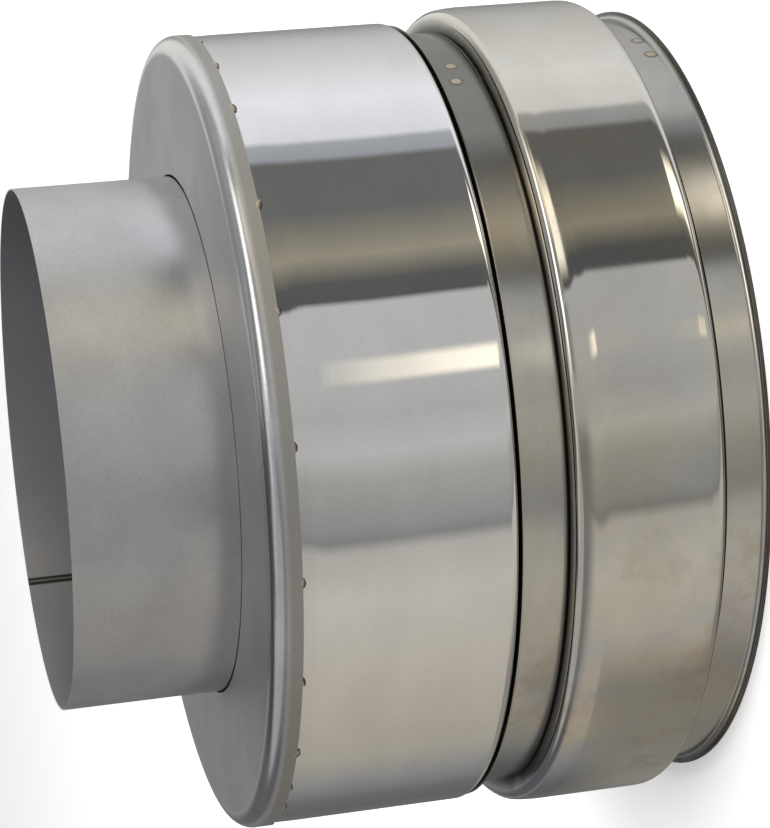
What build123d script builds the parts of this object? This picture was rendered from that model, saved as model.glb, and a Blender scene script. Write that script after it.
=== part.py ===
"""Insulated flue pipe adapter: single-wall spigot, end cap, twin-wall casing and coupling collar.

Millimetres, +Z up. The adapter stands on its coupling end, which lies in z = 0, and the
spigot mouth is its highest edge. Angles run from -Y towards +X.
"""
import os
from math import atan2, cos, degrees, hypot, radians, sin, tan

from build123d import *

os.makedirs("parts", exist_ok=True)

# Fits
slide_fit = 0.10
weld_seat = 0.02

# Sheet gauges
tube_gauge = 0.6
casing_gauge = 0.6
cap_gauge = 0.6
collar_gauge = 0.6
band_gauge = 0.6

# Overall
total_height = 238.6
spigot_radius = 99.0
casing_radius = 151.0
land_drop = 5.6
land_radius = casing_radius - land_drop
bulge_rise = 9.8
bulge_radius = land_radius + bulge_rise

# Spigot
spigot_reach = 60.0
spigot_insert = 26.0
spigot_neck = 0.9
neck_drop = 0.2
neck_length = 3.0
neck_bend = 1.5
seam_angle = -147.0
seam_width = 3.2
seam_rise = 0.35
seam_end = 0.3

# End cap
cap_face_z = total_height - spigot_reach
cap_corner = 6.0
cap_hole_gap = 0.7
cap_collar = 10.7
collar_edge_z = cap_face_z - cap_collar
cap_radius = casing_radius + slide_fit + cap_gauge

# Casing
casing_top_drop = 6.3
casing_top_z = cap_face_z - casing_top_drop
casing_end_z = 91.3
casing_roll = 3.6

# Coupling collar
land_overlap = 13.2
land_top_z = casing_end_z + land_overlap
upper_flange_z = 72.8
lower_flange_z = 18.3
shoulder_bend = 3.4
root_bend = 0.7
collar_foot_z = 0.9

# Bands
front_gap = 0.6
front_lip_z = casing_end_z - front_gap
front_edge_z = upper_flange_z + root_bend
front_lip_reach = 4.6
front_lip_radius = land_radius + front_lip_reach
rear_edge_gap = 1.3
rear_edge_z = lower_flange_z - root_bend - rear_edge_gap
rear_lip_reach = 3.9
rear_lip_radius = land_radius + rear_lip_reach
lip_bend = 1.1
lap_angle = 54.2
lap_sweep = 12.0
front_lap_step = 0.7
rear_lap_step = 0.9

# Inner liner and its socket
liner_clearance = 0.35
liner_top_gap = 0.6
liner_top_z = cap_face_z - neck_drop - neck_length - liner_top_gap
socket_mouth_z = 4.0
socket_depth = 52.0
socket_radius = 100.6
socket_taper = 8.0

# Wool and the ring that holds it
wool_gap = 0.5
ring_face_z = 14.0
ring_flange = 9.0

# Welds
tack_angles = [83.3, 70.6, 59.6, 47.6, 29.6, 14.5, -3.0, -20.8, -35.7, -49.7, -58.9, -66.3, -78.8,
               -92.0, -107.5, -123.0, -137.0, -152.5, -168.0, 176.0, 161.5, 145.0, 127.0, 108.5, 95.0]
tack_radius = 1.6
spot_radius = 2.6
spot_depth = 0.3
front_spots = [(57.9, 81.7), (53.1, 82.9)]
rear_spots = [(62.4, 5.9), (57.0, 5.4)]


def rolled_sheet(path, gauge):
    """Ring of sheet whose middle line follows path, a list of (radius, z, bend) corners."""
    sides = {1: [], -1: []}
    steps = [hypot(b[0] - a[0], b[1] - a[1]) for a, b in zip(path, path[1:])]
    ways = [((b[0] - a[0]) / s, (b[1] - a[1]) / s) for a, b, s in zip(path, path[1:], steps)]
    for sign, side in sides.items():
        shift = sign * gauge / 2

        def beside(point, way):
            return (point[0] - way[1] * shift, 0, point[1] + way[0] * shift)

        here = beside(path[0], ways[0])
        for (r, z, bend), before, after in zip(path[1:-1], ways, ways[1:]):
            turn = atan2(before[0] * after[1] - before[1] * after[0],
                         before[0] * after[0] + before[1] * after[1])
            if abs(turn) < 1e-9:
                continue
            reach = bend * tan(abs(turn) / 2)
            middle = (before[0] + after[0], before[1] + after[1])
            size = hypot(*middle)
            middle = (middle[0] / size, middle[1] / size)
            inward = (1 if turn > 0 else -1) * bend * (1 / cos(turn / 2) - 1)
            start = beside((r - before[0] * reach, z - before[1] * reach), before)
            crown = beside((r - middle[1] * inward, z + middle[0] * inward), middle)
            end = beside((r + after[0] * reach, z + after[1] * reach), after)
            side.append(Edge.make_line(here, start))
            side.append(Edge.make_three_point_arc(start, crown, end))
            here = end
        side.append(Edge.make_line(here, beside(path[-1], ways[-1])))
    caps = [Edge.make_line(sides[1][0] @ 0, sides[-1][0] @ 0),
            Edge.make_line(sides[1][-1] @ 1, sides[-1][-1] @ 1)]
    outline = Wire(sides[1] + sides[-1] + caps)
    return revolve(Face(outline), Axis.Z, 360)


def ring_of(inner, outer, low, high):
    """Plain ring of rectangular section."""
    section = Polyline((inner, 0, low), (outer, 0, low), (outer, 0, high), (inner, 0, high), close=True)
    return revolve(make_face(section), Axis.Z, 360)


def around(angle, radius, z):
    """Point at an angle on a cylinder, angles from -Y towards +X."""
    return (radius * sin(radians(angle)), -radius * cos(radians(angle)), z)


def facing(angle, radius, z):
    """Location on a cylinder whose Z looks outward and whose X runs around the ring."""
    out = (sin(radians(angle)), -cos(radians(angle)), 0)
    return Plane(origin=around(angle, radius, z), z_dir=out, x_dir=(-out[1], out[0], 0)).location


def sector(inner, outer, low, high, start, sweep):
    """Part of a plain ring, from a start angle through a sweep."""
    section = Polyline((inner, 0, low), (outer, 0, low), (outer, 0, high), (inner, 0, high), close=True)
    return Rot(0, 0, start - 90) * revolve(make_face(section), Axis.Z, sweep)


def band(lip_z, edge_z, lip_radius, spots, cut):
    """Band of one strip: a turned-out lip, a flat face on the land and a stepped edge at the lap."""
    toward = 1 if edge_z > lip_z else -1
    middle = land_radius + slide_fit / 2 + band_gauge / 2
    lip_middle_z = lip_z + toward * band_gauge / 2
    path = [(lip_radius, lip_middle_z, 0), (middle, lip_middle_z, lip_bend), (middle, edge_z, 0)]
    start, sweep, step = cut
    low, high = sorted((edge_z - toward * step, edge_z + toward))
    notch = sector(land_radius - 2, land_radius + 4, low, high, start, sweep)
    floor_radius = middle + band_gauge / 2 - spot_depth
    pockets = [facing(a, floor_radius, z) * Cylinder(
        spot_radius, 4, align=(Align.CENTER, Align.CENTER, Align.MIN)) for a, z in spots]
    return rolled_sheet(path, band_gauge) - notch - pockets


def spot_welds(spots):
    """Weld nuggets seated in the pockets of a band, with rounded crowns."""
    floor_radius = land_radius + slide_fit / 2 + band_gauge - spot_depth
    welds = []
    for angle, z in spots:
        nugget = facing(angle, floor_radius + weld_seat, z) * Cylinder(
            spot_radius - 0.35, spot_depth, align=(Align.CENTER, Align.CENTER, Align.MIN))
        crown = nugget.edges().group_by(Axis((0, 0, 0), around(angle, 1, 0)))[-1]
        welds.append(fillet(crown, spot_depth / 2))
    return welds


# Spigot tube, necked in below the cap to enter the liner, with its lengthwise weld inside
spigot_middle = spigot_radius - tube_gauge / 2
neck_top_z = cap_face_z - neck_drop
spigot_foot_z = cap_face_z - spigot_insert
spigot_path = [(spigot_middle, total_height, 0),
               (spigot_middle, neck_top_z, neck_bend),
               (spigot_middle - spigot_neck, neck_top_z - neck_length, neck_bend),
               (spigot_middle - spigot_neck, spigot_foot_z, 0)]
spigot = rolled_sheet(spigot_path, tube_gauge)
seam_sweep = degrees(seam_width / spigot_radius)
seam_low_z = cap_face_z + seam_end
seam = sector(spigot_radius - tube_gauge - seam_rise, spigot_middle, seam_low_z,
              total_height - seam_end, seam_angle - seam_sweep / 2, seam_sweep)
spigot_tube = spigot + seam

# End cap: flat face, rounded corner and a collar over the casing
cap_middle = cap_radius - cap_gauge / 2
cap_path = [(spigot_radius + cap_hole_gap, cap_face_z - cap_gauge / 2, 0),
            (cap_middle, cap_face_z - cap_gauge / 2, cap_corner - cap_gauge / 2),
            (cap_middle, collar_edge_z, 0)]
end_cap = rolled_sheet(cap_path, cap_gauge)

# Outer casing, rolled inward at its lower end onto the land of the collar
casing_middle = casing_radius - casing_gauge / 2
casing_path = [(casing_middle, casing_top_z, 0),
               (casing_middle, casing_end_z + casing_gauge / 2, casing_roll - casing_gauge / 2),
               (land_radius + slide_fit, casing_end_z + casing_gauge / 2, 0)]
outer_casing = rolled_sheet(casing_path, casing_gauge)

# Coupling collar: one roll-formed sheet with two lands and a bulge between round shoulders
land_middle = land_radius - collar_gauge / 2
bulge_middle = bulge_radius - collar_gauge / 2
collar_path = [(land_middle, land_top_z, 0),
               (land_middle, upper_flange_z - collar_gauge / 2, root_bend + collar_gauge / 2),
               (bulge_middle, upper_flange_z - collar_gauge / 2, shoulder_bend - collar_gauge / 2),
               (bulge_middle, lower_flange_z + collar_gauge / 2, shoulder_bend - collar_gauge / 2),
               (land_middle, lower_flange_z + collar_gauge / 2, root_bend + collar_gauge / 2),
               (land_middle, collar_foot_z, 0)]
coupling_collar = rolled_sheet(collar_path, collar_gauge)

# Bands on the two lands, lips outward; the front one is cut back at its lap, the rear one beside it
front_cut = (lap_angle, lap_sweep, front_lap_step)
rear_cut = (lap_angle + lap_sweep, 360 - lap_sweep, rear_lap_step)
front_band = band(front_lip_z, front_edge_z, front_lip_radius, front_spots, front_cut)
rear_band = band(0, rear_edge_z, rear_lip_radius, rear_spots, rear_cut)
front_band_spot_welds = spot_welds(front_spots)
rear_band_spot_welds = spot_welds(rear_spots)

# Inner liner: carries the spigot at the top, opens into the socket at the bottom
liner_bore = spigot_radius - spigot_neck + liner_clearance
liner_middle = liner_bore + tube_gauge / 2
socket_middle = socket_radius + tube_gauge / 2
socket_top_z = socket_mouth_z + socket_depth
liner_path = [(liner_middle, liner_top_z, 0),
              (liner_middle, socket_top_z + socket_taper, 6.0),
              (socket_middle, socket_top_z, 6.0),
              (socket_middle, socket_mouth_z, 0)]
inner_liner = rolled_sheet(liner_path, tube_gauge)

# Ring that closes the wool at the coupling end
liner_outer = socket_radius + tube_gauge
collar_bore = land_radius - collar_gauge
ring_path = [(liner_outer + slide_fit + cap_gauge / 2, ring_face_z + ring_flange, 0),
             (liner_outer + slide_fit + cap_gauge / 2, ring_face_z, 1.5),
             (collar_bore - slide_fit - cap_gauge / 2, ring_face_z, 1.5),
             (collar_bore - slide_fit - cap_gauge / 2, ring_face_z + ring_flange, 0)]
retaining_ring = rolled_sheet(ring_path, cap_gauge)

# Wool sleeve between liner and casing
wool_low_z = ring_face_z + cap_gauge / 2 + wool_gap
wool_inner = liner_outer + slide_fit + cap_gauge + wool_gap
wool_outer = collar_bore - slide_fit - cap_gauge - wool_gap
wool_top_z = cap_face_z - cap_gauge - wool_gap
wool_step_z = land_top_z + wool_gap
casing_bore = casing_radius - casing_gauge
cap_bend = cap_corner
wool_section = Polyline(
    (wool_inner, 0, wool_low_z), (wool_outer, 0, wool_low_z), (wool_outer, 0, wool_step_z),
    (casing_bore - wool_gap, 0, wool_step_z), (casing_bore - wool_gap, 0, wool_top_z - cap_bend),
    (casing_bore - wool_gap - cap_bend, 0, wool_top_z), (wool_inner, 0, wool_top_z), close=True)
insulation = revolve(make_face(wool_section), Axis.Z, 360)

# Tack welds along the edge of the cap collar
bead_blank = Sphere(tack_radius)
cap_keepout = ring_of(casing_radius - 2, cap_radius + weld_seat, collar_edge_z - weld_seat, collar_edge_z + 6)
casing_keepout = ring_of(casing_radius - 4, casing_radius + weld_seat, collar_edge_z - 6, collar_edge_z + 6)
cap_tack_welds = []
for number, angle in enumerate(tack_angles):
    swell = 1 + 0.14 * sin(2.7 * number)
    bead = Pos(*around(angle, casing_radius + 0.15, collar_edge_z - 0.2)) * Rot(0, 0, angle) * scale(
        bead_blank, by=(1.45 * swell, 0.6, 1.08 * swell))
    cap_tack_welds.append(bead - cap_keepout - casing_keepout)


def as_node(solids):
    """One compound from loose solids."""
    loose = []
    for item in solids:
        loose.extend(item.solids())
    return Compound(children=loose)


nodes = {
    "spigot_tube": spigot_tube,
    "inner_liner": inner_liner,
    "end_cap": end_cap,
    "outer_casing": outer_casing,
    "coupling_collar": coupling_collar,
    "front_band": front_band,
    "rear_band": rear_band,
    "retaining_ring": retaining_ring,
    "insulation": insulation,
    "cap_tack_welds": as_node(cap_tack_welds),
    "front_band_spot_welds": as_node(front_band_spot_welds),
    "rear_band_spot_welds": as_node(rear_band_spot_welds),
}
for name, shape in nodes.items():
    shape.label = name
    export_step(shape, f"parts/{name}.step")
    box = shape.bounding_box()
    print(name, len(shape.solids()), round(shape.volume, 1), [round(v, 2) for v in (*box.min, *box.max)])
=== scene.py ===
import bpy
import bmesh
import random
from math import atan2, cos, degrees, pi, radians, sin
from mathutils import Matrix, Vector


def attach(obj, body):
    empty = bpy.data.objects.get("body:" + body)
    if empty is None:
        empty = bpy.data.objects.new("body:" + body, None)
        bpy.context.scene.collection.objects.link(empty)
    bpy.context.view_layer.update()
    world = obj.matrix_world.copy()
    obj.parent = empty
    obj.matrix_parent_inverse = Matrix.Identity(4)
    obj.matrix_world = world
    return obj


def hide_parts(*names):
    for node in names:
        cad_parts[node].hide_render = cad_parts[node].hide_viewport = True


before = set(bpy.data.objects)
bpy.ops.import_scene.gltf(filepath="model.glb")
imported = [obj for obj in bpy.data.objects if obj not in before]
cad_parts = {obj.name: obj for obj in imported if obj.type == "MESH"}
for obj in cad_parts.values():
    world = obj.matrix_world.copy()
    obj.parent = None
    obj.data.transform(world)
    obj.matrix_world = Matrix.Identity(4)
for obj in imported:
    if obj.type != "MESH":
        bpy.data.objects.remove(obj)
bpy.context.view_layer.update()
scene = bpy.context.scene
mm = 0.001
print("frame loaded")


# Nodes

class Signal:
    # one output of a node, ready for sums and products
    def __init__(self, bench, node, key=0):
        self.bench = bench
        self.node = node
        self.socket = node.outputs[key]

    def other(self, key):
        return Signal(self.bench, self.node, key)

    def math(self, operation, *others):
        return self.bench.add("ShaderNodeMath", {"operation": operation}, dict(enumerate((self, *others))))

    def __add__(self, other):
        return self.math("ADD", other)

    def __radd__(self, other):
        return self.math("ADD", other)

    def __sub__(self, other):
        return self.math("SUBTRACT", other)

    def __rsub__(self, other):
        return self.bench.add("ShaderNodeMath", {"operation": "SUBTRACT"}, {0: other, 1: self})

    def __mul__(self, other):
        return self.math("MULTIPLY", other)

    def __rmul__(self, other):
        return self.math("MULTIPLY", other)

    def __truediv__(self, other):
        return self.math("DIVIDE", other)

    def __rtruediv__(self, other):
        return self.bench.add("ShaderNodeMath", {"operation": "DIVIDE"}, {0: other, 1: self})

    def __abs__(self):
        return self.math("ABSOLUTE")

    def over(self, low, high):
        # 0 below low, 1 above high, smooth between
        return self.bench.add("ShaderNodeMapRange", {"interpolation_type": "SMOOTHSTEP"},
                              {"Value": self, "From Min": low, "From Max": high})

    def past(self, span):
        # the same for a pair of lengths in mm
        return self.over(span[0] * mm, span[1] * mm)


class Bench:
    # adds nodes to one tree
    def __init__(self, tree):
        self.tree = tree

    def add(self, kind, settings=None, inputs=None, output=0):
        node = self.tree.nodes.new(kind)
        for name, value in (settings or {}).items():
            if name == "stops":
                self.setStops(node.color_ramp, value)
            else:
                setattr(node, name, value)
        for key, value in (inputs or {}).items():
            if isinstance(value, Signal):
                self.tree.links.new(value.socket, node.inputs[key])
            else:
                node.inputs[key].default_value = value
        return Signal(self, node, output) if len(node.outputs) else node

    def setStops(self, ramp, stops):
        while len(ramp.elements) < len(stops):
            ramp.elements.new(1.0)
        for element, (position, shade) in zip(ramp.elements, stops):
            element.position = position
            element.color = (*shade, 1) if isinstance(shade, tuple) else (shade, shade, shade, 1)

    def noise(self, place, scale, detail, roughness, lift=0.0):
        return self.add("ShaderNodeTexNoise", {"noise_dimensions": "4D"},
                        {"Vector": place, "Scale": scale, "Detail": detail, "Roughness": roughness,
                         "W": lift})

    def stretch(self, place, scale):
        return self.add("ShaderNodeMapping", {"vector_type": "POINT"}, {"Vector": place, "Scale": scale})

    def blend(self, factor, first, second):
        return self.add("ShaderNodeMix", {"data_type": "RGBA"},
                        {"Factor": factor, 6: first, 7: second}, output=2)

    def vector(self, operation, *values):
        return self.add("ShaderNodeVectorMath", {"operation": operation}, dict(enumerate(values)))

    def dot(self, place, way):
        return self.vector("DOT_PRODUCT", place, way).other(1)

    def bump(self, height, distance, strength=1.0, normal=None):
        inputs = {"Height": height, "Distance": distance, "Strength": strength}
        if normal:
            inputs["Normal"] = normal
        return self.add("ShaderNodeBump", {}, inputs)


def emptyMaterial(name):
    # a cleared material, its bench and the Object coordinates
    material = bpy.data.materials.new(name)
    material.use_nodes = True
    material.node_tree.nodes.clear()
    bench = Bench(material.node_tree)
    return material, bench, bench.add("ShaderNodeTexCoord", output="Object")


def finishMaterial(material, bench, inputs):
    shader = bench.add("ShaderNodeBsdfPrincipled", {}, inputs)
    bench.add("ShaderNodeOutputMaterial", {}, {"Surface": shader})
    return material


def radiusOf(bench, place):
    return bench.vector("LENGTH", bench.vector("MULTIPLY", place, (1, 1, 0))).other(1)


def heightOf(bench, place):
    return bench.add("ShaderNodeSeparateXYZ", {}, {0: place}, output=2)


# Steels

# noise grains are scale, detail, roughness and lift
satin = {"shade": (0.70, 0.70, 0.705, 1), "dull": (0.60, 0.60, 0.61, 1),
         "warm": (0.66, 0.635, 0.58, 1), "fleck": (0.34, 0.34, 0.36, 1),
         "cloud": (22, 4, 0.6), "speck": (900, 3, 0.7), "patch": (9, 3, 0.55, 2.0),
         "swell": (12, 2, 0.4, 5.0), "speckDepth": 0.03 * mm, "swellDepth": 1.5 * mm}
mirror = {"fleck": (0.36, 0.36, 0.36, 1), "smear": (18, 4, 0.6), "speck": (1100, 3, 0.75),
          "wave": (9, 1, 0.3, 3.0), "waveDepth": 2.0 * mm, "speckDepth": 0.004 * mm}
# heat tint colours, and an olive used for painted shade on the bands
tarnishAndShade = {"straw": (0.66, 0.60, 0.49, 1), "brown": (0.47, 0.37, 0.28, 1), "blue": (0.50, 0.54, 0.62, 1),
           "paintedShadeOlive": (0.16, 0.165, 0.14, 1), "warmGrain": (11, 4, 0.65, 1.0),
           "stainGrain": (24, 6, 0.72, 7.0), "coolGrain": (17, 5, 0.62, 9.0), "underside": (-130, 20)}
# where the bands get their painted shade: the side of the welded end, and the foot
lapShadeSpan = {"angle": 62.0, "reach": (124, 140), "foot": (-146, -118), "footShare": 0.8}
# painted shade for corners, gaps and lip edges, with a rougher finish there
paintedShadeTone = {"shade": (0.045, 0.040, 0.034, 1), "roughness": 0.35}


def satinSteel(name, look, marks=None):
    # dull rolled finish: fine speckle, soft patches, a faint warm cast
    material, bench, place = emptyMaterial(name)
    cloud = bench.noise(place, *satin["cloud"])
    speck = bench.noise(place, *satin["speck"])
    patch = bench.noise(bench.stretch(place, (1, 1, 0.7)), *satin["patch"])
    colour = bench.blend(cloud.over(0.35, 0.65), look["dull"], look["shade"])
    colour = bench.blend(patch.over(0.45, 0.7) * 0.6, colour, satin["warm"])
    colour = bench.blend(speck.over(0.4, 0.75) * 0.22, colour, satin["fleck"])
    rough = look["roughness"] - 0.04 + speck * 0.08 + cloud * 0.06
    if marks:
        colour, rough = marks(bench, place, colour, rough)
    fine = bench.bump(speck, satin["speckDepth"], 0.5)
    soft = bench.bump(bench.noise(place, *satin["swell"]), satin["swellDepth"], 0.3, fine)
    return finishMaterial(material, bench, {
        "Base Color": colour, "Metallic": 1.0, "Normal": soft, "Roughness": rough})


def mirrorSteel(name, look, paintedShade=None):
    # bright finish with a slow wave, fine grain and heat tint, with painted shade at the bands' welded end and
    # foot and painted shade in the corners and gaps
    material, bench, place = emptyMaterial(name)
    smear = bench.noise(bench.stretch(place, (1, 1, 2.2)), *mirror["smear"])
    speck = bench.noise(place, *mirror["speck"])
    colour = bench.blend(smear.over(0.35, 0.7), look["shade"], look["haze"])
    rough = look["roughness"] + smear.over(0.45, 0.8) * 0.015 + speck.over(0.55, 0.8) * 0.02
    if look["tint"]:
        colour, rough = heatTint(bench, place, colour, rough, look["tint"])
    colour = bench.blend(speck.over(0.35, 0.8) * 0.12, colour, mirror["fleck"])
    # painted shade in olive at the bands' welded end and foot
    if look["burn"]:
        colour = bench.blend(lapPaintedShade(bench, place) * look["burn"], colour, tarnishAndShade["paintedShadeOlive"])
    # painted shade: corners, gaps and lip edges are darkened to near black
    if paintedShade:
        mask = paintedShade(bench, place)
        colour = bench.blend(mask, colour, paintedShadeTone["shade"])
        rough = rough + mask * paintedShadeTone["roughness"]
    swell = bench.noise(bench.stretch(place, (1, 1, 0.6)), *mirror["wave"])
    wave = bench.bump(swell, mirror["waveDepth"], 0.10)
    fine = bench.bump(speck, mirror["speckDepth"], 0.5, wave)
    return finishMaterial(material, bench, {
        "Base Color": colour, "Metallic": 1.0, "Normal": fine, "Roughness": rough})


def heatTint(bench, place, colour, rough, tint):
    # straw, brown and blue patches, more of them on the underside
    low = 1 - bench.dot(place, (1, 0, 0)).past(tarnishAndShade["underside"])
    warm = bench.noise(place, *tarnishAndShade["warmGrain"]).over(0.42, 0.66)
    stain = bench.noise(place, *tarnishAndShade["stainGrain"]).over(0.50, 0.64) * (0.35 + low * 0.9)
    cool = bench.noise(place, *tarnishAndShade["coolGrain"]).over(0.50, 0.63) * (0.45 + low * 0.6)
    colour = bench.blend(warm * (0.70 * tint), colour, tarnishAndShade["straw"])
    colour = bench.blend(stain * (0.40 * tint), colour, tarnishAndShade["brown"])
    colour = bench.blend(cool * (0.50 * tint), colour, tarnishAndShade["blue"])
    return colour, rough + stain * (0.08 * tint) + cool * (0.04 * tint)


def lapPaintedShade(bench, place):
    # painted shade: the bands darken to olive near their welded end and along their foot
    turn = radians(lapShadeSpan["angle"])
    end = bench.dot(place, (sin(turn), -cos(turn), 0)).past(lapShadeSpan["reach"])
    foot = 1 - bench.dot(place, (1, 0, 0)).past(lapShadeSpan["foot"])
    return end + foot * lapShadeSpan["footShare"]


print("steels ready")


# Rolled sheet

def groupTree(name, sizes):
    # an empty Geometry Nodes group with named inputs
    tree = bpy.data.node_groups.new(name, "GeometryNodeTree")
    for label, kind, value in sizes:
        item = tree.interface.new_socket(label, in_out="INPUT", socket_type="NodeSocket" + kind)
        if value is not None:
            item.default_value = value
    tree.interface.new_socket("Geometry", in_out="OUTPUT", socket_type="NodeSocketGeometry")
    bench = Bench(tree)
    entry = bench.add("NodeGroupInput")
    return tree, bench, {label: entry.other(label) for label, kind, value in sizes}


def closeGroup(bench, geometry, material):
    real = bench.add("GeometryNodeRealizeInstances", {}, {"Geometry": geometry})
    painted = bench.add("GeometryNodeSetMaterial", {}, {"Geometry": real, "Material": material})
    bench.add("NodeGroupOutput", {}, {"Geometry": painted})


def rolledRingTree():
    # one rule for every ring: fillet the path at its bends, then turn it about Z
    tree, bench, given = groupTree("rolledRing", (
        ("Geometry", "Geometry", None), ("Segments", "Int", 384), ("Bend Steps", "Int", 12),
        ("Material", "Material", None)))
    bend = bench.add("GeometryNodeInputNamedAttribute", {"data_type": "FLOAT"}, {"Name": "bend"})
    line = bench.add("GeometryNodeMeshToCurve", {}, {"Mesh": given["Geometry"]})
    bent = bench.add("GeometryNodeFilletCurve", {"mode": "POLY"},
                     {"Curve": line, "Count": given["Bend Steps"], "Radius": bend, "Limit Radius": False})
    count = bench.add("GeometryNodeAttributeDomainSize", {"component": "CURVE"}, {"Geometry": bent})
    grid = bench.add("GeometryNodeMeshGrid", {}, {
        "Size X": 1.0, "Size Y": 1.0, "Vertices X": given["Segments"] + 1, "Vertices Y": count})
    index = bench.add("GeometryNodeInputIndex")
    along = index.math("MODULO", count)
    column = (index / count).math("FLOOR")
    spot = bench.add("GeometryNodeInputPosition")
    sampled = bench.add("GeometryNodeSampleIndex", {"data_type": "FLOAT_VECTOR", "domain": "POINT"},
                        {"Geometry": bent, "Value": spot, "Index": along})
    turned = bench.add("ShaderNodeVectorRotate", {"rotation_type": "Z_AXIS"},
                       {"Vector": sampled, "Angle": column / given["Segments"] * (2 * pi)})
    placed = bench.add("GeometryNodeSetPosition", {}, {"Geometry": grid, "Position": turned})
    closed = bench.add("GeometryNodeMergeByDistance", {}, {"Geometry": placed, "Distance": 0.001 * mm})
    smooth = bench.add("GeometryNodeSetShadeSmooth", {}, {"Geometry": closed, "Shade Smooth": True})
    closeGroup(bench, smooth, given["Material"])
    return tree


ringTree = rolledRingTree()
sheet = {"edge": 0.14, "edgeSteps": 3, "edgeAngle": 50, "smoothWeight": 100}


def newObject(name, mesh):
    thing = bpy.data.objects.new(name, mesh)
    scene.collection.objects.link(thing)
    return thing


def setInputs(modifier, values):
    # by each socket's identifier
    for item in modifier.node_group.interface.items_tree:
        if item.item_type == "SOCKET" and item.in_out == "INPUT" and item.name in values:
            modifier[item.identifier] = values[item.name]


def evaluated(thing):
    depsgraph = bpy.context.evaluated_depsgraph_get()
    return bpy.data.meshes.new_from_object(thing.evaluated_get(depsgraph), depsgraph=depsgraph)


def freeze(thing, name, material):
    # the evaluated shape as a plain mesh, without its object
    mesh = evaluated(thing)
    old = thing.data
    bpy.data.objects.remove(thing)
    bpy.data.meshes.remove(old)
    mesh.name = name
    mesh.materials.clear()
    mesh.materials.append(material)
    return mesh


def facesOutward(mesh):
    # a closed shell that faces outwards has a positive volume
    volume = 0.0
    mesh.calc_loop_triangles()
    for triangle in mesh.loop_triangles:
        a, b, c = (mesh.vertices[i].co for i in triangle.vertices)
        volume += a.dot(b.cross(c))
    return volume > 0


def rolledSheet(name, path, gauge, material, segments=384, bendSteps=12):
    # path points are radius, height and bend radius of the sheet's middle, in mm
    line = bpy.data.meshes.new(name + "Path")
    line.from_pydata([(radius * mm, 0, height * mm) for radius, height, bend in path],
                     [(i, i + 1) for i in range(len(path) - 1)], [])
    bends = line.attributes.new("bend", "FLOAT", "POINT")
    bends.data.foreach_set("value", [bend * mm for radius, height, bend in path])
    thing = newObject(name, line)
    turner = thing.modifiers.new("turn", "NODES")
    turner.node_group = ringTree
    setInputs(turner, {"Segments": segments, "Bend Steps": bendSteps, "Material": material})
    wall = thing.modifiers.new("wall", "SOLIDIFY")
    wall.thickness = gauge * mm
    wall.offset = 0
    wall.use_even_offset = True
    trim = thing.modifiers.new("edge", "BEVEL")
    trim.width = sheet["edge"] * mm
    trim.segments = sheet["edgeSteps"]
    trim.limit_method = "ANGLE"
    trim.angle_limit = radians(sheet["edgeAngle"])
    mesh = freeze(thing, name, material)
    if not facesOutward(mesh):
        mesh.flip_normals()
    return mesh


def weigh(thing):
    # flat walls keep straight reflections beside their bends
    weights = thing.modifiers.new("weights", "WEIGHTED_NORMAL")
    weights.mode = "FACE_AREA"
    weights.weight = sheet["smoothWeight"]
    weights.keep_sharp = False
    mesh = evaluated(thing)
    thing.modifiers.clear()
    old = thing.data
    thing.data = mesh
    mesh.name = thing.name
    bpy.data.meshes.remove(old)


def dress(thing, node):
    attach(thing, "root")
    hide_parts(node)


def dressSheet(name, mesh, node):
    thing = newObject(name, mesh)
    weigh(thing)
    dress(thing, node)


def spin(angle, radius, height):
    # a point on a cylinder, angles from -Y towards +X
    return Vector((radius * sin(radians(angle)), -radius * cos(radians(angle)), height)) * mm


# Spigot

spigot = {"radius": 99.0, "gauge": 0.6, "mouth": 238.6, "foot": 152.6,
          "neck": 0.9, "neckTop": 178.4, "neckFoot": 175.4, "neckBend": 1.5,
          "seamFoot": 178.9, "seamEnd": 0.3, "seamAngle": -147.0, "seamWidth": 3.2, "seamRise": 0.35,
          "seamSunk": 0.04, "seamRoot": 0.2, "seamSteps": 12,
          "wall": (98.5, 98.8), "seamSide": (0, 10), "burnt": (1.3, 2.1), "core": (0.1, 0.5),
          "worn": (182, 212), "insidePaintedShade": (0.46, 0.46, 0.49, 1),
          "burntShade": (0.045, 0.05, 0.045, 1),
          "coreShade": (0.40, 0.42, 0.38, 1),
          "steel": {"shade": satin["shade"], "dull": satin["dull"], "roughness": 0.44}}


def spigotMarks(bench, place, colour, rough):
    # painted shade inside the tube, a burnt weld along the seam, a smoother foot beside the cap
    inside = 1 - radiusOf(bench, place).past(spigot["wall"])
    turn = radians(spigot["seamAngle"])
    across = abs(bench.dot(place, (cos(turn), sin(turn), 0)))
    facing = bench.dot(place, (sin(turn), -cos(turn), 0)).past(spigot["seamSide"])
    burnt = (1 - across.past(spigot["burnt"])) * facing * inside
    core = (1 - across.past(spigot["core"])) * facing * inside
    worn = (1 - heightOf(bench, place).past(spigot["worn"])) * (1 - inside)
    # painted shade on the inside of the tube
    colour = bench.blend(inside * 0.75, colour, spigot["insidePaintedShade"])
    colour = bench.blend(burnt * 0.95, colour, spigot["burntShade"])
    colour = bench.blend(core * 0.6, colour, spigot["coreShade"])
    return colour, rough * (1 - worn * 0.55)


def seamRow(form, points, height):
    inner = spigot["radius"] - spigot["gauge"]
    return [form.verts.new(spin(spigot["seamAngle"] + degrees(across / inner), radius, height))
            for across, radius in points]


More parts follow.
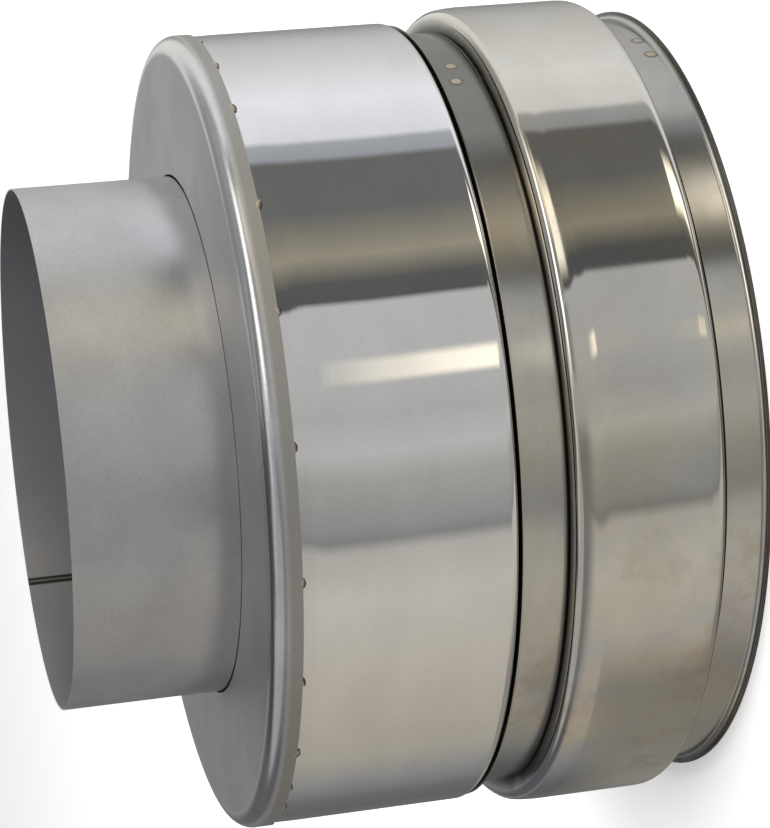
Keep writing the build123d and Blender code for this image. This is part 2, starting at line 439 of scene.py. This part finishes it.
def addSeam(form):
    # a low bead inside the tube, closed at its back and ends
    inner = spigot["radius"] - spigot["gauge"]
    half = spigot["seamWidth"] / 2
    steps = spigot["seamSteps"]
    crown = []
    for step in range(steps + 1):
        across = -half + 2 * half * step / steps
        rise = spigot["seamRise"] * (1 - (across / half) ** 4) - spigot["seamSunk"]
        crown.append((across, inner - rise))
    root = [(across, inner + spigot["seamRoot"]) for across in (-half, half)]
    heights = (spigot["seamFoot"], spigot["mouth"] - spigot["seamEnd"])
    low, high = (seamRow(form, crown, height) for height in heights)
    lowRoot, highRoot = (seamRow(form, root, height) for height in heights)
    skin = [form.faces.new((low[i], low[i + 1], high[i + 1], high[i])) for i in range(steps)]
    for face in skin:
        face.smooth = True
    rest = [form.faces.new(corners) for corners in (
        (lowRoot[1], lowRoot[0], highRoot[0], highRoot[1]),
        (lowRoot[0], low[0], high[0], highRoot[0]),
        (low[-1], lowRoot[1], highRoot[1], high[-1]),
        lowRoot + low[::-1],
        highRoot[::-1] + high)]
    bmesh.ops.recalc_face_normals(form, faces=skin + rest)


def makeSpigot():
    wall = spigot["radius"] - spigot["gauge"] / 2
    neck, bend = wall - spigot["neck"], spigot["neckBend"]
    mesh = rolledSheet("spigotTube", [(neck, spigot["foot"], 0), (neck, spigot["neckFoot"], bend),
                                      (wall, spigot["neckTop"], bend), (wall, spigot["mouth"], 0)],
                       spigot["gauge"], satinSteel("spigotSteel", spigot["steel"], spigotMarks))
    form = bmesh.new()
    form.from_mesh(mesh)
    addSeam(form)
    form.to_mesh(mesh)
    form.free()
    dressSheet("spigotTube", mesh, "spigot_tube")


makeSpigot()


# End cap

cap = {"hole": 99.7, "face": 178.6, "radius": 151.7, "corner": 6.0, "collarEdge": 167.9, "gauge": 0.6,
       "bendSteps": 20,
       "brightHeight": (172.8, 174.5), "brightRadius": (144.0, 146.5), "brightShare": 0.62,
       "strip": (171.5, 173.5), "stripShade": (0.42, 0.40, 0.36, 1),
       "faceHeight": (177.2, 178.0), "front": (30, 120), "faceFrontPaintedShade": (0.40, 0.40, 0.415, 1),
       "steel": {"shade": satin["shade"], "dull": satin["dull"], "roughness": 0.50}}


def capMarks(bench, place, colour, rough):
    # the corner is worked bright, the strip over the casing is browner, and painted shade darkens the face
    # towards the front
    height = heightOf(bench, place)
    corner = height.past(cap["brightHeight"]) * radiusOf(bench, place).past(cap["brightRadius"])
    strip = 1 - height.past(cap["strip"])
    front = bench.dot(place, (0, -1, 0)).past(cap["front"]) * height.past(cap["faceHeight"])
    colour = bench.blend(strip * 0.75, colour, cap["stripShade"])
    # painted shade on the face towards the front
    colour = bench.blend(front * 0.5, colour, cap["faceFrontPaintedShade"])
    return colour, rough * (1 - corner * cap["brightShare"])


def makeCap():
    half = cap["gauge"] / 2
    wall, top = cap["radius"] - half, cap["face"] - half
    mesh = rolledSheet("endCap", [(cap["hole"], top, 0), (wall, top, cap["corner"] - half),
                                  (wall, cap["collarEdge"], 0)],
                       cap["gauge"], satinSteel("capSteel", cap["steel"], capMarks), bendSteps=cap["bendSteps"])
    dressSheet("endCap", mesh, "end_cap")


makeCap()


# Outer casing

casing = {"radius": 151.0, "top": 172.3, "end": 91.3, "roll": 3.6, "seat": 145.5, "gauge": 0.6,
          "drawIn": 0.40, "drawStart": 160.0, "drawBend": 260, "segments": 512, "bendSteps": 20,
          "steel": {"shade": (0.80, 0.795, 0.785, 1), "haze": (0.74, 0.735, 0.725, 1), "roughness": 0.018,
                    "tint": 0, "burn": 0}}


def makeCasing():
    half = casing["gauge"] / 2
    wall, low = casing["radius"] - half, casing["end"] + half
    mesh = rolledSheet("outerCasing", [(wall - casing["drawIn"], casing["top"], 0),
                                       (wall, casing["drawStart"], casing["drawBend"]),
                                       (wall, low, casing["roll"] - half), (casing["seat"], low, 0)],
                       casing["gauge"], mirrorSteel("casingSteel", casing["steel"]),
                       casing["segments"], casing["bendSteps"])
    dressSheet("outerCasing", mesh, "outer_casing")


makeCasing()


# Coupling collar

collar = {"land": 145.4, "bulge": 155.2, "top": 104.5, "upperFlange": 72.8, "lowerFlange": 18.3,
          "foot": 0.9, "shoulder": 3.8, "root": 0.7, "gauge": 0.6,
          "ease": 7.5, "crown": 1.0, "crownBend": 58, "lowerEase": 4.5, "lowerCrown": 0.45, "lowerBend": 26,
          "segments": 480, "bendSteps": 14, "paintedShade": (146.0, 154.2), "paintedShadeShare": 0.95,
          "steel": {"shade": (0.69, 0.67, 0.62, 1), "haze": (0.63, 0.61, 0.555, 1), "roughness": 0.035,
                    "tint": 1.0, "burn": 0}}


def collarPaintedShade(bench, place):
    # painted shade on the land and at the roots of the flanges, fading out up the bulge
    return (1 - radiusOf(bench, place).past(collar["paintedShade"])) * collar["paintedShadeShare"]


def makeCollar():
    half = collar["gauge"] / 2
    land, bulge = collar["land"] - half, collar["bulge"] - half
    upper, lower = collar["upperFlange"] - half, collar["lowerFlange"] + half
    root, shoulder = collar["root"] + half, collar["shoulder"] - half
    path = [(land, collar["top"], 0), (land, upper, root), (bulge - collar["crown"], upper, shoulder),
            (bulge, upper - collar["ease"], collar["crownBend"]),
            (bulge, lower + collar["lowerEase"], collar["lowerBend"]),
            (bulge - collar["lowerCrown"], lower, shoulder), (land, lower, root), (land, collar["foot"], 0)]
    mesh = rolledSheet("couplingCollar", path, collar["gauge"],
                       mirrorSteel("collarSteel", collar["steel"], collarPaintedShade),
                       collar["segments"], collar["bendSteps"])
    dressSheet("couplingCollar", mesh, "coupling_collar")


makeCollar()


# Bands

lap = {"angle": 54.2, "sweep": 12.0, "reach": 0.4}
# the last entry of each band's steel sets how much painted shade it gets at its welded end and foot
frontBand = {"lip": 150.0, "lipEnd": 90.7, "edge": 73.5, "land": 145.45, "gauge": 0.6, "bend": 1.1,
             "step": 0.7, "paintedShadeHeight": (89.0, 89.8), "paintedShadeRadius": (148.6, 149.5), "paintedShadeShare": 0.95,
             "steel": {"shade": (0.60, 0.59, 0.55, 1), "haze": (0.50, 0.49, 0.45, 1), "roughness": 0.19,
                       "tint": 0.9, "burn": 0.9}}
rearBand = {"lip": 149.3, "lipEnd": 0.0, "edge": 15.4, "land": 145.45, "gauge": 0.6, "bend": 2.6,
            "step": -0.9, "paintedShadeHeight": (0.3, 1.0), "paintedShadeShare": 0.9,
            "steel": {"shade": (0.60, 0.59, 0.56, 1), "haze": (0.50, 0.49, 0.46, 1), "roughness": 0.17,
                      "tint": 1.0, "burn": 0.405}}


def frontBandPaintedShade(bench, place):
    # painted shade on the lip in the gap under the casing's rolled end
    inner = 1 - radiusOf(bench, place).past(frontBand["paintedShadeRadius"])
    return heightOf(bench, place).past(frontBand["paintedShadeHeight"]) * inner * frontBand["paintedShadeShare"]


def rearBandPaintedShade(bench, place):
    # painted shade along the rear lip's rim
    return (1 - heightOf(bench, place).past(rearBand["paintedShadeHeight"])) * rearBand["paintedShadeShare"]


def makeBand(name, size, node, steel):
    half = size["gauge"] / 2
    toward = 1 if size["edge"] > size["lipEnd"] else -1
    face = size["land"] + half
    lipMiddle = size["lipEnd"] + toward * half
    path = [(size["lip"], lipMiddle, 0), (face, lipMiddle, size["bend"]), (face, size["edge"], 0)]
    mesh = rolledSheet(name, path, size["gauge"], steel)
    for vertex in mesh.vertices:
        # the edge steps where the strip's end lies over its start
        angle = degrees(atan2(vertex.co.x, -vertex.co.y))
        inLap = lap["angle"] < angle < lap["angle"] + lap["sweep"]
        if inLap and abs(vertex.co.z / mm - size["edge"]) < lap["reach"]:
            vertex.co.z -= toward * size["step"] * mm
    dressSheet(name, mesh, node)


makeBand("frontBand", frontBand, "front_band", mirrorSteel("frontBandSteel", frontBand["steel"], frontBandPaintedShade))
makeBand("rearBand", rearBand, "rear_band", mirrorSteel("rearBandSteel", rearBand["steel"], rearBandPaintedShade))


# Liner and retaining ring

liner = {"bore": 98.45, "top": 174.8, "taper": 64.0, "socketTop": 56.0, "taperBend": 6, "socket": 100.6,
         "mouth": 4.0, "gauge": 0.6,
         "steel": {"shade": (0.50, 0.50, 0.50, 1), "dull": (0.42, 0.42, 0.42, 1), "roughness": 0.40}}
closer = {"inner": 101.3, "outer": 144.7, "face": 14.0, "flange": 23.0, "bend": 1.5, "gauge": 0.6}
linerSteel = satinSteel("linerSteel", liner["steel"])


def makeLiner():
    half = liner["gauge"] / 2
    wall, socket, bend = liner["bore"] + half, liner["socket"] + half, liner["taperBend"]
    mesh = rolledSheet("innerLiner", [(wall, liner["top"], 0), (wall, liner["taper"], bend),
                                      (socket, liner["socketTop"], bend), (socket, liner["mouth"], 0)],
                       liner["gauge"], linerSteel)
    dressSheet("innerLiner", mesh, "inner_liner")


def makeCloser():
    half = closer["gauge"] / 2
    inner, outer, bend = closer["inner"] + half, closer["outer"] - half, closer["bend"]
    mesh = rolledSheet("retainingRing", [(inner, closer["flange"], 0), (inner, closer["face"], bend),
                                         (outer, closer["face"], bend), (outer, closer["flange"], 0)],
                       closer["gauge"], linerSteel)
    dressSheet("retainingRing", mesh, "retaining_ring")


makeLiner()
makeCloser()
print("sheet rings made")


# Welds

tacks = {"angles": [83.3, 70.6, 59.6, 47.6, 29.6, 14.5, -3.0, -20.8, -35.7, -49.7, -58.9, -66.3, -78.8,
                    -92.0, -107.5, -123.0, -137.0, -152.5, -168.0, 176.0, 161.5, 145.0, 127.0, 108.5, 95.0],
         "edge": 167.9, "radius": 151.3, "size": 1.6, "shape": (1.25, 0.36, 0.75), "lump": 0.06,
         "pitted": 0.02, "burnLevel": 0.35, "burnFall": 0.9, "seed": 7, "twist": 0.35, "sizes": (0.8, 1.15)}
# angle and height of each spot, then radius and rise along the mark's profile
spots = {"front": [(57.9, 81.7), (53.1, 82.9)], "rear": [(62.4, 5.9), (57.0, 5.4)], "face": 146.05,
         "seed": 3, "twist": 0.2, "sizes": (0.85, 0.91),
         "profile": [(0, 0.10), (0.9, 0.09), (1.7, 0.07), (2.15, 0.05), (2.4, 0.12), (2.65, 0.15),
                     (2.85, 0.08), (2.95, -0.05)],
         "root": (2.9, -0.2), "sides": 32, "rim": 2.0, "rimBurn": 0.62, "faceBurn": 0.12}
weld = {"dark": (0.50, 0.42, 0.30, 1), "bright": (0.60, 0.56, 0.46, 1), "burnt": (0.07, 0.05, 0.04, 1),
        "grain": (700, 3, 0.6), "grainDepth": 0.3 * mm}


def weldSteel(name):
    material, bench, place = emptyMaterial(name)
    burn = bench.add("ShaderNodeAttribute", {"attribute_name": "burn"}, output=2)
    patch = bench.noise(place, *weld["grain"])
    colour = bench.blend(patch.over(0.35, 0.65), weld["dark"], weld["bright"])
    colour = bench.blend(burn, colour, weld["burnt"])
    return finishMaterial(material, bench, {
        "Base Color": colour, "Metallic": 0.85, "Roughness": 0.34 + patch * 0.2,
        "Normal": bench.bump(patch, weld["grainDepth"], 0.5)})


def scatterTree():
    # welds on given points, each turned outward and a little different
    tree, bench, given = groupTree("scatterWelds", (
        ("Geometry", "Geometry", None), ("Weld", "Object", None), ("Least Size", "Float", 0.85),
        ("Largest Size", "Float", 1.15), ("Twist", "Float", 0.3), ("Seed", "Int", 1),
        ("Material", "Material", None)))
    shape = bench.add("GeometryNodeObjectInfo", {}, {"Object": given["Weld"]}, output="Geometry")
    east = bench.add("ShaderNodeSeparateXYZ", {}, {0: bench.add("GeometryNodeInputPosition")})
    heading = east.math("ARCTAN2", east.other(1) * -1.0)
    turn = bench.add("ShaderNodeCombineXYZ", {}, {2: heading})
    sway = bench.add("FunctionNodeRandomValue", {"data_type": "FLOAT"},
                     {2: -1.0, 3: 1.0, "Seed": given["Seed"]}, output=1) * given["Twist"]
    swell = bench.add("FunctionNodeRandomValue", {"data_type": "FLOAT"}, {
        2: given["Least Size"], 3: given["Largest Size"], "Seed": given["Seed"] + 11}, output=1)
    size = bench.add("ShaderNodeCombineXYZ", {}, {0: swell, 1: swell, 2: swell})
    copies = bench.add("GeometryNodeInstanceOnPoints", {}, {
        "Points": given["Geometry"], "Instance": shape, "Rotation": turn, "Scale": size})
    lean = bench.add("ShaderNodeCombineXYZ", {}, {1: sway})
    leaned = bench.add("GeometryNodeRotateInstances", {}, {
        "Instances": copies, "Rotation": lean, "Local Space": True})
    closeGroup(bench, leaned, given["Material"])
    return tree


weldTree = scatterTree()
weldMetal = weldSteel("weldMetal")


def weldMesh(name, form, burnAt):
    # the form as a smooth mesh, with how burnt each point is
    mesh = bpy.data.meshes.new(name)
    form.to_mesh(mesh)
    form.free()
    burn = mesh.attributes.new("burn", "FLOAT", "POINT")
    burn.data.foreach_set("value", [burnAt(vertex.co) for vertex in mesh.vertices])
    mesh.polygons.foreach_set("use_smooth", [True] * len(mesh.polygons))
    return mesh


def tackBead():
    # a low blob that bridges the collar's edge; it faces -Y and lies around the origin
    form = bmesh.new()
    bmesh.ops.create_icosphere(form, subdivisions=3, radius=1)
    noise = random.Random(tacks["seed"])
    for vertex in form.verts:
        x, y, z = vertex.co
        lump = 1 + tacks["lump"] * sin(x * 5 + 1) * cos(z * 6) + tacks["pitted"] * noise.uniform(-1, 1)
        wide, deep, high = tacks["shape"]
        vertex.co = Vector((x * wide, y * deep, z * high)) * lump * tacks["size"] * mm
    return weldMesh("tackBead", form,
                    lambda spot: min(1.0, max(0.0, tacks["burnLevel"] - spot.z / mm * tacks["burnFall"])))


def spotMark():
    # a shallow round dish with a raised rim, facing -Y
    sides = spots["sides"]
    turns = [2 * pi * i / sides for i in range(sides)]
    form = bmesh.new()
    rings = []
    for radius, height in spots["profile"][1:] + [spots["root"]]:
        rings.append([form.verts.new(Vector((radius * cos(turn), -height, radius * sin(turn))) * mm)
                      for turn in turns])
    middle = form.verts.new((0, -spots["profile"][0][1] * mm, 0))
    foot = form.verts.new((0, -spots["root"][1] * mm, 0))
    for i in range(sides):
        j = (i + 1) % sides
        form.faces.new((middle, rings[0][i], rings[0][j]))
        form.faces.new((foot, rings[-1][j], rings[-1][i]))
        for low, high in zip(rings, rings[1:]):
            form.faces.new((low[i], high[i], high[j], low[j]))
    bmesh.ops.recalc_face_normals(form, faces=form.faces)
    return weldMesh("spotMark", form, lambda spot: (
        spots["rimBurn"] if (spot.x ** 2 + spot.z ** 2) ** 0.5 > spots["rim"] * mm else spots["faceBurn"]))


def scatterWelds(name, shapeMesh, places, node, look):
    shape = newObject(name + "Shape", shapeMesh)
    points = bpy.data.meshes.new(name + "Points")
    points.from_pydata(places, [], [])
    thing = newObject(name, points)
    spread = thing.modifiers.new("spread", "NODES")
    spread.node_group = weldTree
    least, largest = look["sizes"]
    setInputs(spread, {"Weld": shape, "Seed": look["seed"], "Twist": look["twist"], "Least Size": least,
                       "Largest Size": largest, "Material": weldMetal})
    mesh = freeze(thing, name, weldMetal)
    bpy.data.objects.remove(shape)
    dress(newObject(name, mesh), node)


tackPlaces = [spin(angle, tacks["radius"], tacks["edge"]) for angle in tacks["angles"]]
scatterWelds("capTackWelds", tackBead(), tackPlaces, "cap_tack_welds", tacks)
for side in ("front", "rear"):
    spotPlaces = [spin(angle, spots["face"], height) for angle, height in spots[side]]
    scatterWelds(side + "SpotWelds", spotMark(), spotPlaces, side + "_band_spot_welds", spots)


# Wool

wool = {"deep": (0.20, 0.17, 0.10, 1), "pale": (0.50, 0.46, 0.34, 1), "brown": (0.42, 0.36, 0.24, 1),
        "strand": (260, 6, 0.7), "clump": (40, 4, 0.6), "strandDepth": 1.0 * mm}


def woolFibre(name):
    material, bench, place = emptyMaterial(name)
    strand = bench.noise(bench.stretch(place, (1, 1, 6)), *wool["strand"])
    colour = bench.blend(strand.over(0.3, 0.7), wool["deep"], wool["pale"])
    colour = bench.blend(bench.noise(place, *wool["clump"]) * 0.4, colour, wool["brown"])
    return finishMaterial(material, bench, {
        "Base Color": colour, "Roughness": 0.95, "Normal": bench.bump(strand, wool["strandDepth"], 0.8)})


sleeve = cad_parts["insulation"]
sleeve.data.materials.clear()
sleeve.data.materials.append(woolFibre("mineralWool"))
print("welds and wool made")


# Studio

camera = {"place": (0, -1.02836, 0.33824), "pitch": 12.97, "roll": 95.84, "lens": 117.365,
          "sensor": 36, "clip": (0.05, 60)}
studio = {"floor": 14.0, "floorShade": 0.86, "floorGlow": 0.35,
          "lamps": [("topSoft", (0.6, -0.9, 2.6), 2.4, 62), ("sideSoft", (1.8, 0.6, 1.6), 2.0, 26)]}
# shades by heading in degrees: 0 is -Y, 90 is +X
roomShades = [
    (-180, 0.16), (-150, 0.14), (-140, 0.17), (-126, 0.30), (-112, (0.45, 0.42, 0.36)),
    (-85, (0.54, 0.49, 0.43)), (-52, (0.62, 0.60, 0.54)), (-38, (0.54, 0.52, 0.49)), (-34.5, 0.28),
    (-31, 0.34), (-18, (0.43, 0.43, 0.41)), (-10, 0.57), (0, 0.50), (8, 0.54), (17, 0.57), (31.2, 0.58),
    (32.6, 0.115), (38, 0.12), (46, (0.37, 0.34, 0.265)), (54, (0.25, 0.24, 0.20)), (60, 0.17),
    (77, 0.17), (79, (0.40, 0.42, 0.46)), (84, (0.46, 0.48, 0.52)), (86, (0.88, 0.90, 0.94)),
    (103, (0.98, 1.0, 1.05)),
    (125, 0.76), (142, 0.60), (160, 0.32)]
room = {
    "front": (88, 112), "zenith": (70, 78), "overhead": (0.09, 0.09, 0.085, 1),
    "backRise": (0, 4), "backEnd": (24, 40), "backSide": (-0.35, 0.35),
    "backLow": (0.14, 0.14, 0.15, 1), "backHigh": (0.94, 0.94, 0.93, 1), "backdrop": (0.93, 0.93, 0.93, 1),
    "skew": 3.5, "skewLevel": (-10.5, -3.5), "skewTurn": (-0.5, 0.5), "skewEnd": (0.8, 1.3),
    "slant": 0.4, "slantFrom": -13.0, "slantSpan": -9.0,
    # each patch fades in and out between its four headings and four elevations; later ones lie on top
    "patches": [
        {"side": (-175, -160, -20, 0), "level": (-9, -2, 60, 70), "shade": (0.25, 0.25, 0.26, 1)},
        {"side": (0, 10, 27, 30), "level": (-4, 6, 60, 70), "shade": (0.34, 0.34, 0.34, 1)},
        {"side": (-120, -60, 10, 30), "level": (48, 54, 62, 70), "shade": (0.85, 0.85, 0.88, 1)},
        # the warm streak, shown by the casing, then by the collar
        {"side": (8, 10.5, 14, 17), "level": (-17.5, -16.2, -16, -10.8), "shade": (1.5, 1.38, 1.16, 1)},
        {"side": (8, 10.5, 13, 16), "level": (-40, -30, -22, -18.8), "shade": (1.0, 0.92, 0.74, 1)},
        # the flash on the rear band, and the dull underside
        {"side": (43, 51, 56, 68), "level": (-60, -42, -20.7, -19.6), "shade": (2.4, 2.2, 1.80, 1)},
        {"side": (-179, -150, -96, -72), "level": (-60, -50, -17.5, -15.2), "shade": (0.29, 0.28, 0.26, 1)},
        # dim side with a warm lamp, shown by the rounded corners, and the glare on the spigot's foot
        {"side": (28, 34, 76, 84), "level": (-2, 6, 30, 46), "shade": (0.36, 0.34, 0.29, 1)},
        {"side": (46, 56, 66, 76), "level": (2, 8, 18, 30), "shade": (1.1, 1.0, 0.80, 1)},
        {"side": (33, 43, 56, 70), "level": (-6.5, -5, 4, 9), "shade": (1.6, 1.5, 1.28, 1)}],
    "highPatches": [
        {"side": (62, 76, 400, 401), "level": (18, 32, 91, 92), "shade": (0.40, 0.40, 0.40, 1)},
        {"side": (-140, -125, -40, -20), "level": (18, 28, 58, 66), "shade": (0.52, 0.52, 0.52, 1)}]}
# an arc of light that the cap's corner shows as one line, seen from a fixed low front
arc = {"fromLevel": 9.4, "height": (0.37, 0.42, 0.51, 0.57), "side": (-0.75, -0.5, 0.42, 0.62),
       "brighten": (-0.02, 0.2), "dim": (0.48, 0.48, 0.50, 1), "bright": (2.2, 2.2, 2.2, 1)}


def makeCamera():
    data = bpy.data.cameras.new("camera")
    data.lens = camera["lens"]
    data.sensor_width = camera["sensor"]
    data.clip_start, data.clip_end = camera["clip"]
    thing = newObject("camera", data)
    pitch, roll = radians(camera["pitch"]), radians(camera["roll"])
    forward = Vector((0, cos(pitch), -sin(pitch)))
    side = Vector((1, 0, 0))
    up = side.cross(forward) * cos(roll) + side * sin(roll)
    turn = Matrix((forward.cross(up), up, -forward)).transposed()
    thing.matrix_world = Matrix.Translation(camera["place"]) @ turn.to_4x4()
    scene.camera = thing


def band(signal, spans):
    # 1 between the middle two values, 0 outside the outer two
    return signal.over(spans[0], spans[1]) * (1 - signal.over(spans[2], spans[3]))


def roomRamp(bench, azimuth):
    # two ramps side by side keep the edges between the shades crisp
    half = len(roomShades) // 2
    ramps = []
    for group in (roomShades[:half + 1], roomShades[half:]):
        low, high = group[0][0], group[-1][0]
        stops = [((heading - low) / (high - low), shade) for heading, shade in group]
        ramps.append(bench.add("ShaderNodeValToRGB", {"stops": stops}, {0: (azimuth - low) / (high - low)}))
    middle = roomShades[half][0]
    return bench.blend(azimuth.over(middle - 0.01, middle + 0.01), *ramps)


def paintPatches(bench, colour, azimuth, tilt, patches):
    for patch in patches:
        mask = band(azimuth, patch["side"]) * band(tilt, patch["level"])
        colour = bench.blend(mask, colour, patch["shade"])
    return colour


def paintArc(bench, colour, way):
    level = radians(arc["fromLevel"])
    middle = bench.vector("NORMALIZE", bench.vector("ADD", way, (0, -cos(level), sin(level))))
    lift, reach = bench.dot(middle, (0, 0, 1)), bench.dot(middle, (1, 0, 0))
    lamp = bench.blend(reach.over(*arc["brighten"]), arc["dim"], arc["bright"])
    return bench.blend(band(lift, arc["height"]) * band(reach, arc["side"]), colour, lamp)


def makeWorld():
    # a soft room around the pipe's axis: bright side, dark gap, grey front, beige underside
    world = bpy.data.worlds.new("studio")
    scene.world = world
    world.use_nodes = True
    world.node_tree.nodes.clear()
    bench = Bench(world.node_tree)
    way = bench.add("ShaderNodeTexCoord", output="Generated")
    east = bench.add("ShaderNodeSeparateXYZ", {}, {0: way})
    tilt = east.other(2).math("ARCSINE") * (180 / pi)
    heading = east.math("ARCTAN2", east.other(1) * -1.0)
    # the shades lean a little with elevation, as the edges of a real room do
    skew = tilt.over(*room["skewLevel"]) * room["skew"] * (heading.over(*room["skewTurn"]) * 2 - 1)
    skew = skew * (1 - heading.over(*room["skewEnd"]))
    slant = (tilt - room["slantFrom"]).math("MAXIMUM", room["slantSpan"]).math("MINIMUM", 0.0)
    azimuth = heading * (180 / pi) + skew + slant * room["slant"]
    colour = paintPatches(bench, roomRamp(bench, azimuth), azimuth, tilt, room["patches"])
    back = abs(azimuth).over(*room["front"])
    high = tilt.over(*room["backEnd"])
    colour = bench.blend(tilt.over(*room["zenith"]) * (1 - back), colour, room["overhead"])
    colour = bench.blend(high * back, colour, room["overhead"])
    wall = bench.blend(east.over(*room["backSide"]), room["backLow"], room["backHigh"])
    colour = bench.blend(tilt.over(*room["backRise"]) * (1 - high) * back, colour, wall)
    colour = paintPatches(bench, colour, azimuth, tilt, room["highPatches"])
    colour = paintArc(bench, colour, way)
    seen = bench.add("ShaderNodeLightPath", output="Is Camera Ray")
    colour = bench.blend(seen, colour, room["backdrop"])
    light = bench.add("ShaderNodeBackground", {}, {"Color": colour, "Strength": 1.0})
    bench.add("ShaderNodeOutputWorld", {}, {"Surface": light})


def makeFloor():
    form = bmesh.new()
    bmesh.ops.create_grid(form, x_segments=2, y_segments=2, size=studio["floor"])
    mesh = bpy.data.meshes.new("floor")
    form.to_mesh(mesh)
    form.free()
    thing = newObject("floor", mesh)
    material, bench, place = emptyMaterial("paleFloor")
    shade = studio["floorShade"]
    mesh.materials.append(finishMaterial(material, bench, {
        "Base Color": (shade, shade, shade, 1), "Roughness": 0.9, "Specular IOR Level": 0.1,
        "Emission Color": (1, 1, 1, 1), "Emission Strength": studio["floorGlow"]}))
    thing.visible_glossy = False


def makeLamp(name, spot, size, power):
    data = bpy.data.lights.new(name, "AREA")
    data.shape = "DISK"
    data.size = size
    data.energy = power
    thing = newObject(name, data)
    thing.location = spot
    thing.rotation_euler = Vector(spot).to_track_quat("Z", "Y").to_euler()
    thing.visible_glossy = False


makeCamera()
makeWorld()
makeFloor()
for lamp in studio["lamps"]:
    makeLamp(*lamp)
scene.view_settings.view_transform = "Standard"
scene.view_settings.look = "None"
print("studio made")
